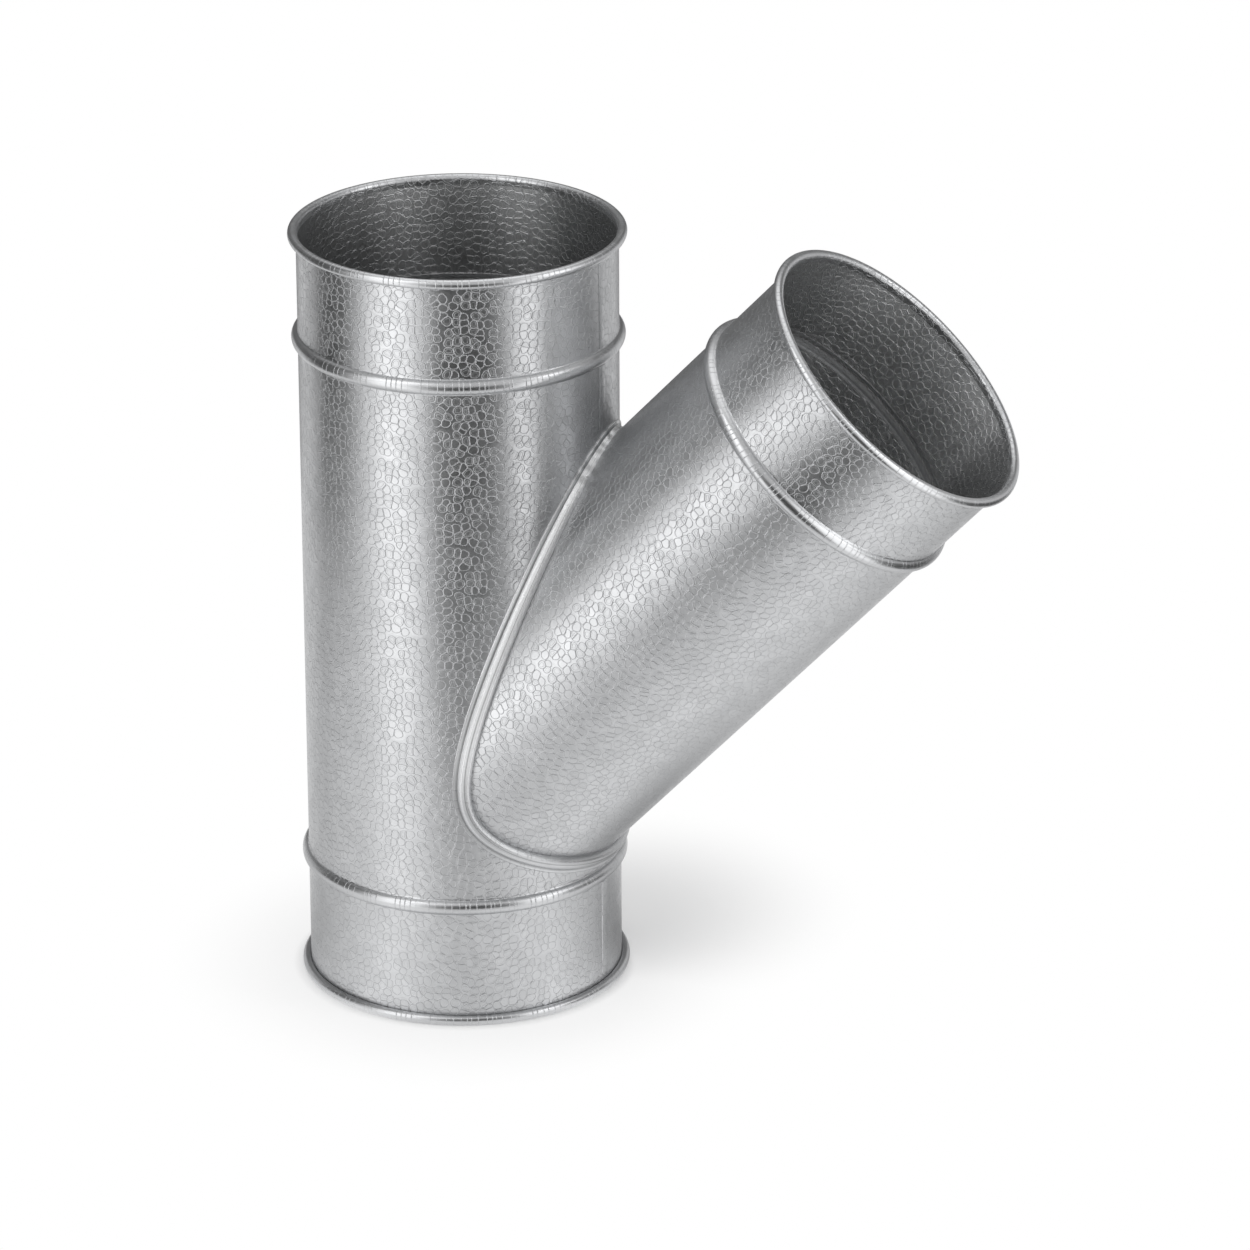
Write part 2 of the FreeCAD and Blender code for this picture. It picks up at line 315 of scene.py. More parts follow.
@dataclass(frozen=True)
class RunTube:
    """The straight tube, with its side opening and its lengthwise lap, in metres and degrees."""

    form: FittingForm
    sheet: SheetForm
    lap_width: float = 0.006
    lap_rise: float = 0.0003
    lap_clear: float = 0.0085
    end_clear: float = 0.001
    lap_round: float = 0.0005
    lap_round_steps: int = 3
    lap_azimuth: float = -8.0
    cutter_length: float = 0.3

    def wall(self) -> bpy.types.Object:
        """Builds the wall with both curls and both beads, and cuts the opening.

        Returns:
            The wall.
        """
        form, sheet = self.form, self.sheet
        tube = SheetTube(sheet, form.run_radius)
        top = form.run_height - sheet.curl_radius
        mesh = bmesh.new()
        pen = SectionPen(mesh, form.run_radius, sheet.curl_radius)
        tube.bead(pen, form.lower_bead, 1.0)
        tube.bead(pen, form.upper_bead, 1.0)
        pen.line(form.run_radius, top)
        tube.curl(pen, top, 1.0)
        tube.bead(pen, form.upper_bead, -1.0)
        tube.bead(pen, form.lower_bead, -1.0)
        pen.line(tube.bore, sheet.curl_radius)
        tube.curl(pen, sheet.curl_radius, -1.0)
        turned(mesh)
        piece = finished(mesh, "run_wall")
        self.cut_opening(piece)
        return piece

    def cut_opening(self, wall: bpy.types.Object) -> None:
        """Cuts the opening for the branch.

        Args:
            wall: Wall that is cut in place.
        """
        radius = self.form.branch_radius - self.sheet.thickness
        length = self.cutter_length
        mesh = bmesh.new()
        bmesh.ops.create_cone(
            mesh, cap_ends=True, segments=TURN_STEPS, radius1=radius, radius2=radius, depth=length,
            matrix=Matrix.Translation((0.0, 0.0, length / 2.0)),
        )
        bmesh.ops.transform(mesh, matrix=self.form.branch_matrix, verts=mesh.verts)
        cutter = finished(mesh, "opening_cutter")
        cut = wall.modifiers.new("opening", "BOOLEAN")
        cut.object = cutter
        cut.operation = "DIFFERENCE"
        cut.solver = "EXACT"
        opened = bpy.data.meshes.new_from_object(wall.evaluated_get(bpy.context.evaluated_depsgraph_get()))
        wall.modifiers.clear()
        whole = wall.data
        wall.data = opened
        opened.name = whole.name
        bpy.data.meshes.remove(whole)
        bpy.data.objects.remove(cutter)
        opened.set_sharp_from_angle(angle=SHARP_ANGLE)

    def lap(self, name: str, bottom: float, top: float) -> bpy.types.Object:
        """Builds one stretch of the flat-pressed lap along the wall.

        Args:
            name: Name of the piece.
            bottom: Height of its lower end.
            top: Height of its upper end.

        Returns:
            The lap.
        """
        radius = self.form.run_radius
        sweep = self.lap_width / radius
        mesh = bmesh.new()
        pen = SectionPen(mesh, radius - self.sheet.thickness / 2.0, bottom)
        pen.line(radius + self.lap_rise, bottom)
        pen.line(radius + self.lap_rise, top)
        pen.line(radius - self.sheet.thickness / 2.0, top)
        bmesh.ops.contextual_create(mesh, geom=mesh.verts[:])
        swept = bmesh.ops.extrude_face_region(mesh, geom=mesh.faces[:])["geom"]
        ends = [item for item in swept if isinstance(item, BMVert)]
        bmesh.ops.rotate(mesh, verts=ends, cent=(0.0, 0.0, 0.0), matrix=Matrix.Rotation(sweep, 3, "Z"))
        middle = math.radians(self.lap_azimuth) - sweep / 2.0
        bmesh.ops.rotate(mesh, verts=mesh.verts, cent=(0.0, 0.0, 0.0), matrix=Matrix.Rotation(middle, 3, "Z"))
        long_edges = [
            edge for edge in mesh.edges
            if edge.calc_length() > self.lap_width and all(math.hypot(*v.co.xy) > radius for v in edge.verts)
        ]
        bmesh.ops.bevel(
            mesh, geom=long_edges, offset=self.lap_round, segments=self.lap_round_steps, profile=0.5,
            affect="EDGES",
        )
        return finished(mesh, name)

    def build(self, material: bpy.types.Material) -> None:
        """Builds and dresses the whole tube.

        Args:
            material: Finish of the sheet.
        """
        form, sheet = self.form, self.sheet
        wall = self.wall()
        mark_inner_faces(wall.data, Matrix.Identity(4), form.run_radius - sheet.thickness)
        dress(wall, material)
        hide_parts("run_tube")
        clear = 2.0 * sheet.curl_radius + self.end_clear
        rise = (form.branch_radius + form.run_radius * math.cos(form.tilt)) / math.sin(form.tilt)
        stretches = (
            ("lap_lower", clear, form.lower_bead - sheet.bead_half),
            ("lap_middle", form.junction + rise + self.lap_clear, form.upper_bead - sheet.bead_half),
            ("lap_upper", form.upper_bead + sheet.bead_half, form.run_height - clear),
        )
        for name, bottom, top in stretches:
            dress(self.lap(name, bottom, top), material)


@dataclass(frozen=True)
class BranchTube:
    """The slanted tube, coped to the run."""

    form: FittingForm
    sheet: SheetForm

    def build(self, material: bpy.types.Material) -> None:
        """Builds and dresses the tube.

        Args:
            material: Finish of the sheet.
        """
        form, sheet = self.form, self.sheet
        tube = SheetTube(sheet, form.branch_radius)
        top = form.branch_reach - sheet.curl_radius
        mesh = bmesh.new()
        pen = SectionPen(mesh, form.branch_radius, 0.0)
        tube.bead(pen, form.branch_bead, 1.0)
        pen.line(form.branch_radius, top)
        tube.curl(pen, top, 1.0)
        tube.bead(pen, form.branch_bead, -1.0)
        pen.line(tube.bore, 0.0)
        pen.line(form.branch_radius, 0.0)
        turned(mesh)
        for vertex in mesh.verts:
            if abs(vertex.co.z) < WELD:
                radius = math.hypot(vertex.co.x, vertex.co.y)
                vertex.co.z = form.cope(angle_round(vertex), radius, form.run_radius)
        bmesh.ops.transform(mesh, matrix=form.branch_matrix, verts=mesh.verts)
        piece = finished(mesh, "branch_wall")
        mark_inner_faces(piece.data, form.branch_matrix, tube.bore)
        dress(piece, material)
        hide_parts("branch_tube")


@dataclass(frozen=True)
class SaddleSeam:
    """The rolled seam over the corner of both tubes, with its flat lip on the run.

    Dents are in degrees round the branch, to both sides of the crotch, and the groove's spread is in radians
    round the roll.
    """

    form: FittingForm
    sheet: SheetForm
    roll_radius: float = 0.0034
    roll_offset: float = 0.0015
    lip_width: float = 0.0025
    lip_round: float = 0.0003
    sink: float = 0.0004
    roll_sides: int = 28
    groove_depth: float = 0.0003
    groove_spread: float = 0.42
    stations: int = 768
    ring_radius: float = 0.5
    dents: tuple[float, ...] = (4.1, 9.4, 12.2, 18.6, 22.4)
    dent_spread: float = 1.2
    dent_depth: float = 0.00045

    def dent(self, turn: float) -> float:
        """How deep the roll is pinched at an angle, from 0 to 1.

        Args:
            turn: Angle round the branch, from its underside.

        Returns:
            The share of the full depth.
        """
        off = abs(math.degrees(turn) - 180.0)
        return max(math.exp(-(((off - spot) / self.dent_spread) ** 2)) for spot in self.dents)

    def on_run(self, place: Vector, height: float) -> Vector:
        """Nearest place at a height above the outside of the run."""
        level = Vector((place.x, place.y, 0.0)).normalized() * (self.form.run_radius + height)
        return Vector((level.x, level.y, place.z))

    def on_branch(self, place: Vector, height: float) -> Vector:
        """Moves a place to a height above the outside of the branch.

        Args:
            place: The place to move, in metres.
            height: Height above the branch's outside, in metres.

        Returns:
            The nearest place at that height.
        """
        along = self.form.branch_matrix.to_3x3().col[2]
        foot = Vector((0.0, 0.0, self.form.junction))
        foot = foot + along * (place - foot).dot(along)
        return foot + (place - foot).normalized() * (self.form.branch_radius + height)

    def section(self, turn: float) -> list[Vector]:
        """Works out the seam's section at an angle round the branch.

        Args:
            turn: Angle round the branch, from its underside.

        Returns:
            The corners, from the roll's foot on the run, out along the lip and back over the roll.
        """
        form, thick = self.form, self.sheet.thickness
        reach = form.cope(turn, form.branch_radius, form.run_radius)
        local = Vector((form.branch_radius * math.cos(turn), form.branch_radius * math.sin(turn), reach))
        corner = form.branch_matrix @ local
        run_out = Vector((corner.x, corner.y, 0.0)).normalized()
        branch_out = form.branch_matrix.to_3x3() @ Vector((math.cos(turn), math.sin(turn), 0.0))
        middle = (run_out + branch_out).normalized()
        axis = run_out.cross(branch_out).normalized()
        along_run, along_branch = axis.cross(run_out), branch_out.cross(axis)
        centre = corner + middle * self.roll_offset
        rise = self.roll_offset * middle.dot(run_out)
        advance = self.roll_offset * middle.dot(along_run)
        to_lip = advance + math.sqrt(self.roll_radius ** 2 - (thick - rise) ** 2)
        to_branch = advance + math.sqrt(self.roll_radius ** 2 - (self.sink + rise) ** 2)
        lip_edge = corner + along_run * (to_lip + self.lip_width)
        foot = self.on_run(corner + along_run * to_lip, thick)
        root = self.on_branch(corner + along_branch * to_branch, -self.sink)
        across = middle.cross(axis)
        first, last = (
            math.atan2((end - centre).dot(across), (end - centre).dot(middle)) for end in (root, foot)
        )
        pinch = self.dent_depth * self.dent(turn)
        corners = [
            foot,
            self.on_run(lip_edge - along_run * self.lip_round, thick),
            self.on_run(lip_edge, thick - self.lip_round),
            self.on_run(lip_edge, -self.sink),
            corner - (run_out + branch_out) * (self.sink / (1.0 + run_out.dot(branch_out))),
            root,
        ]
        for side in range(1, self.roll_sides):
            angle = first + (last - first) * side / self.roll_sides
            bulge = math.sin(math.pi * side / self.roll_sides)
            radius = self.roll_radius - self.groove_depth * math.exp(-((angle / self.groove_spread) ** 2))
            radius -= pinch * bulge
            corners.append(centre + (middle * math.cos(angle) + across * math.sin(angle)) * radius)
        return corners

    def build(self, material: bpy.types.Material) -> None:
        """Builds and dresses the seam: a ring is spun first, and its corners then move to the saddle line.

        Args:
            material: Finish of the seam.
        """
        mesh = bmesh.new()
        count = len(self.section(0.0))
        step = math.tau / count
        ring = Vector((1.0, 0.0, 0.0))
        bmesh.ops.create_circle(
            mesh, cap_ends=False, segments=count, radius=self.ring_radius,
            matrix=Matrix.Translation(ring) @ Matrix.Rotation(math.pi / 2.0, 4, "X"),
        )
        turned(mesh, self.stations)
        pinched = mesh.verts.layers.float.new(DENT_MARK)
        spots = {}
        for vertex in mesh.verts:
            station = round(angle_round(vertex) / math.tau * self.stations) % self.stations
            out = math.hypot(vertex.co.x, vertex.co.y) - ring.x
            spots[vertex] = station, round(math.atan2(vertex.co.z, out) / step) % count
        self.unfold(mesh, spots, count)
        turns = [math.tau * i / self.stations for i in range(self.stations)]
        sections = [self.section(turn) for turn in turns]
        for vertex, (station, corner) in spots.items():
            vertex.co = sections[station][corner]
            vertex[pinched] = self.dent(turns[station])
        dress(finished(mesh, "saddle_seam"), material)

    def unfold(self, mesh: BMesh, spots: dict[BMVert, tuple[int, int]], count: int) -> None:
        """Stores each corner's place along the seam and across it as a flat map.

        Args:
            mesh: Mesh of the ring.
            spots: Station and corner number of each vertex.
            count: Number of corners in a section.
        """
        layer = mesh.loops.layers.uv.new(SEAM_MAP)
        length = math.tau * self.form.run_radius
        for face in mesh.faces:
            stations, corners = zip(*(spots[loop.vert] for loop in face.loops))
            places = zip(unwrapped(stations, self.stations), unwrapped(corners, count))
            for loop, (station, corner) in zip(face.loops, places):
                loop[layer].uv = station / self.stations * length, corner / count


@dataclass(frozen=True)
class Band:
    """A soft band at an angle, with its spread to each side, in degrees."""

    angle: float
    spread: float
    amount: float


@dataclass(frozen=True)
class TubeFrame:
    """How object coordinates turn into places round and along one tube, and the painted glints of its inner
    face.

    Lengths are in metres and angles in radians. The bands are in degrees round the tube.
    """

    radius: float
    inner_low: float
    inner_high: float
    # Bands of painted light round the inner face, over a ground of painted shade.
    painted_inner_glints: tuple[Band, ...]
    inner_relief: float
    height: float = 0.0
    lean: float = 0.0
    edge_azimuth: float = 0.0


class NodeBoard:
    """Places and links shader nodes in one tree."""

    def __init__(self, tree: bpy.types.NodeTree) -> None:
        """Keeps the tree.

        Args:
            tree: Tree of a material, a world or a group.
        """
        self.tree = tree

    def add(self, kind: str, **settings: object) -> bpy.types.Node:
        """Adds a node.

        Args:
            kind: Type of the node.
            settings: Values of its properties.

        Returns:
            The node.
        """
        node = self.tree.nodes.new(kind)
        for name, value in settings.items():
            setattr(node, name, value)
        return node

    def feed(self, socket: bpy.types.NodeSocket, source: object) -> None:
        """Links a socket to another one, or sets its value.

        Args:
            socket: Input socket.
            source: Output socket or plain value.
        """
        if isinstance(source, bpy.types.NodeSocket):
            self.tree.links.new(source, socket)
        else:
            socket.default_value = source

    def fill(self, node: bpy.types.Node, **values: object) -> bpy.types.Node:
        """Feeds a node's inputs by name.

        Args:
            node: The node.
            values: Values or sockets by input name, with spaces as underscores.

        Returns:
            The node.
        """
        for name, value in values.items():
            self.feed(node.inputs[name.replace("_", " ")], value)
        return node

    def math(self, operation: str, *values: object, clamp: bool = False) -> bpy.types.NodeSocket:
        """Adds a sum of one to three values.

        Args:
            operation: Name of the operation.
            values: Sockets or numbers.
            clamp: Whether the result stays between 0 and 1.

        Returns:
            The result.
        """
        node = self.add("ShaderNodeMath", operation=operation, use_clamp=clamp)
        for socket, value in zip(node.inputs, values):
            self.feed(socket, value)
        return node.outputs[0]

    def ramp(self, value: bpy.types.NodeSocket, low: float, high: float,
             start: float = 0.0, end: float = 1.0) -> bpy.types.NodeSocket:
        """Maps a value smoothly from one range to another.

        Args:
            value: Value that is mapped.
            low: Value that gives start.
            high: Value that gives end.
            start: Result at the low end.
            end: Result at the high end.

        Returns:
            The mapped value.
        """
        node = self.add("ShaderNodeMapRange", interpolation_type="SMOOTHSTEP")
        self.fill(node, Value=value, From_Min=low, From_Max=high, To_Min=start, To_Max=end)
        return node.outputs["Result"]

    def place(self, x: object, y: object) -> bpy.types.NodeSocket:
        """Joins two values to a vector."""
        return self.fill(self.add("ShaderNodeCombineXYZ"), X=x, Y=y).outputs["Vector"]

    def split(self, vector: bpy.types.NodeSocket) -> tuple[bpy.types.NodeSocket, ...]:
        """Splits a vector into its three values."""
        return tuple(self.fill(self.add("ShaderNodeSeparateXYZ"), Vector=vector).outputs)

    def noise(self, spot: object, scale: float, detail: float, roughness: float = 0.5,
              dimensions: str = "2D") -> bpy.types.Node:
        """Adds a noise texture.

        Args:
            spot: Vector, or value in one dimension.
            scale: Features in one unit.
            detail: Number of finer layers.
            roughness: Strength of the finer layers.
            dimensions: 1D, 2D or 3D.

        Returns:
            The texture's node.
        """
        node = self.add("ShaderNodeTexNoise", noise_dimensions=dimensions)
        self.feed(node.inputs["W" if dimensions == "1D" else "Vector"], spot)
        return self.fill(node, Scale=scale, Detail=detail, Roughness=roughness)

    def stripe(self, value: bpy.types.NodeSocket, middle: float, half: float) -> bpy.types.NodeSocket:
        """Adds a soft line where a value passes a number.

        Args:
            value: The value.
            middle: The number.
            half: Half of the line's width.

        Returns:
            1 on the line and 0 beside it.
        """
        off = self.math("ABSOLUTE", self.math("SUBTRACT", value, middle))
        return self.ramp(off, 0.0, half, 1.0, 0.0)

    def relief(self, height: bpy.types.NodeSocket, depth: float) -> bpy.types.NodeSocket:
        """Adds a bump of a depth in metres."""
        bump = self.add("ShaderNodeBump")
        return self.fill(bump, Strength=1.0, Distance=depth, Height=height).outputs["Normal"]

    def bands(self, angle: bpy.types.NodeSocket, bands: tuple[Band, ...]) -> bpy.types.NodeSocket:
        """Adds up soft bands.

        Args:
            angle: Angle in degrees.
            bands: The bands.

        Returns:
            The sum of their amounts.
        """
        total = 0.0
        for band in bands:
            strip = self.stripe(angle, band.angle, band.spread)
            total = self.math("MULTIPLY_ADD", strip, band.amount, total)
        return total

    def group(self, tree: bpy.types.NodeTree, **values: object) -> bpy.types.Node:
        """Places a node group and feeds its inputs by name."""
        return self.fill(self.add("ShaderNodeGroup", node_tree=tree), **values)


def new_group(name: str, inputs: tuple[str, ...], outputs: tuple[str, ...],
              vectors: tuple[str, ...] = ()) -> tuple[NodeBoard, dict, bpy.types.Node]:
    """Starts a shader node group.

    Args:
        name: Name of the group.
        inputs: Names of its inputs.
        outputs: Names of its outputs.
        vectors: Those of them that are vectors.

    Returns:
        The group's board, its input sockets by name, and its output node.
    """
    tree = bpy.data.node_groups.new(name, "ShaderNodeTree")
    for names, side in ((inputs, "INPUT"), (outputs, "OUTPUT")):
        for entry in names:
            kind = "NodeSocketVector" if entry in vectors else "NodeSocketFloat"
            tree.interface.new_socket(entry, in_out=side, socket_type=kind)
    board = NodeBoard(tree)
    start, end = board.add("NodeGroupInput"), board.add("NodeGroupOutput")
    return board, {entry: start.outputs[entry] for entry in inputs}, end


def empty_material(name: str) -> tuple[bpy.types.Material, NodeBoard]:
    """Makes a material without nodes.

    Args:
        name: Name of the material.

    Returns:
        The material and its board.
    """
    material = bpy.data.materials.new(name)
    material.use_nodes = True
    material.node_tree.nodes.clear()
    return material, NodeBoard(material.node_tree)


def metal(name: str) -> tuple[bpy.types.Material, NodeBoard, bpy.types.Node]:
    """Makes a material of plain metal.

    Args:
        name: Name of the material.

    Returns:
        The material, its board and its shader.
    """
    material, board = empty_material(name)
    shader = board.fill(board.add("ShaderNodeBsdfPrincipled"), Metallic=1.0)
    board.fill(board.add("ShaderNodeOutputMaterial"), Surface=shader.outputs["BSDF"])
    return material, board, shader


def place_on_tube_group() -> bpy.types.NodeTree:
    """Builds the group that turns a place into distances round, along and off a tube's wall.

    Returns:
        The group, for a tube that stands on Z.
    """
    board, given, end = new_group(
        "place_on_tube", ("Place", "Radius"), ("Around", "Along", "Proud"), vectors=("Place",),
    )
    x, y, z = board.split(given["Place"])
    around = board.math("MULTIPLY", board.math("ARCTAN2", y, x), given["Radius"])
    reach = board.math("SQRT", board.math("ADD", board.math("MULTIPLY", x, x), board.math("MULTIPLY", y, y)))
    board.fill(end, Around=around, Along=z, Proud=board.math("SUBTRACT", reach, given["Radius"]))
    return board.tree


def inner_side_group() -> bpy.types.NodeTree:
    """Builds the group that tells a tube's inner face, and the sides of hollow beads that face in or out.

    Returns:
        The group, which reads the marks of mark_inner_faces.
    """
    board, given, end = new_group(
        "inner_side", ("Inner", "Lean", "Along", "Low", "High"), ("Inside", "To Mouth", "To Depth"),
    )
    inside = board.math("MULTIPLY", given["Inner"], board.math("GREATER_THAN", given["Along"], given["Low"]))
    inside = board.math("MULTIPLY", inside, board.math("LESS_THAN", given["Along"], given["High"]))
    to_mouth = board.math("MULTIPLY", inside, given["Lean"], clamp=True)
    away = board.math("MULTIPLY", inside, board.math("MULTIPLY", given["Lean"], -1.0))
    board.fill(end, Inside=inside, To_Mouth=to_mouth, To_Depth=board.math("MAXIMUM", away, 0.0))
    return board.tree


@dataclass(frozen=True)
class NetForm:
    """Shape of the embossed net, in widths of a cell."""

    wander_scale: float = 0.7
    wander_reach: float = 0.4
    unevenness: float = 0.8
    cell_radius: float = 0.56
    corner_round: float = 0.2
    ridge: tuple[float, float] = (0.02, 0.055)
    ring: tuple[float, float] = (0.21, 0.04)
    ring_share: float = 0.5
    ring_cells: tuple[float, float] = (0.2, 0.7)
    peel_scale: float = 2.4
    peel_share: float = 0.5

    def build(self) -> bpy.types.NodeTree:
        """Builds the group: rounded cells with thin ridges between them, many with a ring inside.

        Returns:
            The group.
        """
        board, given, end = new_group(
            "embossed_net", ("Around", "Along", "Cell"), ("Height", "Line", "Tone"),
        )
        u = board.math("DIVIDE", given["Around"], given["Cell"])
        v = board.math("DIVIDE", given["Along"], given["Cell"])
        flat = board.place(u, v)
        wander = board.noise(flat, self.wander_scale, 1.0)
        shift = board.add("ShaderNodeVectorMath", operation="MULTIPLY_ADD")
        board.feed(shift.inputs[0], wander.outputs["Color"])
        board.feed(shift.inputs[1], (self.wander_reach, self.wander_reach, 0.0))
        board.feed(shift.inputs[2], flat)
        edges = board.add("ShaderNodeTexVoronoi", voronoi_dimensions="2D", feature="DISTANCE_TO_EDGE")
        cells = board.add("ShaderNodeTexVoronoi", voronoi_dimensions="2D", feature="F1")
        for node in (edges, cells):
            board.fill(node, Vector=shift.outputs[0], Scale=1.0, Randomness=self.unevenness)
        tint = board.add("ShaderNodeSeparateColor")
        board.feed(tint.inputs[0], cells.outputs["Color"])
        inset = board.math("SUBTRACT", self.cell_radius, cells.outputs["Distance"])
        inset = board.math("SMOOTH_MIN", edges.outputs["Distance"], inset, self.corner_round)
        ring = board.stripe(inset, *self.ring)
        ring = board.math("MULTIPLY", ring, board.ramp(tint.outputs[0], *self.ring_cells))
        line = board.math("MULTIPLY_ADD", ring, self.ring_share, board.stripe(inset, *self.ridge))
        peel = board.noise(flat, self.peel_scale, 2.0, 0.6)
        height = board.math("MULTIPLY_ADD", peel.outputs["Fac"], self.peel_share, line)
        board.fill(end, Height=height, Line=line, Tone=tint.outputs[1])
        return board.tree


@dataclass(frozen=True)
class MarkForm:
    """Shape of the short cross lines that the rollers leave, in widths of their spacing."""

    half_width: float = 0.1
    patch_scale: float = 0.35
    patch: tuple[float, float] = (0.34, 0.52)

    def build(self) -> bpy.types.NodeTree:
        """Builds the group: uneven cross lines that come and go.

        Returns:
            The group.
        """
        board, given, end = new_group("roll_marks", ("Around", "Spacing"), ("Height",))
        spot = board.math("DIVIDE", given["Around"], given["Spacing"])
        marks = board.add("ShaderNodeTexVoronoi", voronoi_dimensions="1D", feature="DISTANCE_TO_EDGE")
        board.fill(marks, W=spot, Scale=1.0, Randomness=1.0)
        line = board.stripe(marks.outputs["Distance"], 0.0, self.half_width)
        patch = board.noise(spot, self.patch_scale, 2.0, dimensions="1D")
        present = board.ramp(patch.outputs["Fac"], *self.patch)
        board.fill(end, Height=board.math("MULTIPLY", line, present))
        return board.tree


@dataclass(frozen=True)
class GroupSet:
    """Node groups that the finishes share."""

    place: bpy.types.NodeTree
    inner: bpy.types.NodeTree
    net: bpy.types.NodeTree
    marks: bpy.types.NodeTree


@dataclass(frozen=True)
class Zinc:
    """Tones and polish of galvanised sheet; its hollow tone is painted shade and its bright tone painted
    light.
    """

    dark: tuple[float, float, float, float] = (0.507, 0.513, 0.522, 1.0)
    light: tuple[float, float, float, float] = (0.592, 0.598, 0.608, 1.0)
    # Painted shade: dark tone of the inner face, of hollow bead flanks and of the seam's creases; also the
    # dark end of the seam's streaks.
    hollow: tuple[float, float, float, float] = (0.2, 0.204, 0.208, 1.0)
    # Painted light: tone of the painted glints inside, of bead flanks that face deeper and of the seam's
    # painted highlight.
    bright: tuple[float, float, float, float] = (0.93, 0.935, 0.942, 1.0)
    polish: float = 0.27
    worn: float = 0.36
    matte: float = 0.6


def blended(board: NodeBoard, amount: bpy.types.NodeSocket, first: object,
            second: object) -> bpy.types.NodeSocket:
    """Mixes two colours.

    Args:
        board: Board of the material.
        amount: Share of the second colour.
        first: Colour or socket at 0.
        second: Colour or socket at 1.

    Returns:
        The mixed colour.
    """
    node = board.add("ShaderNodeMix", data_type="RGBA")
    board.feed(node.inputs[0], amount)
    board.feed(node.inputs[6], first)
    board.feed(node.inputs[7], second)
    return node.outputs[2]


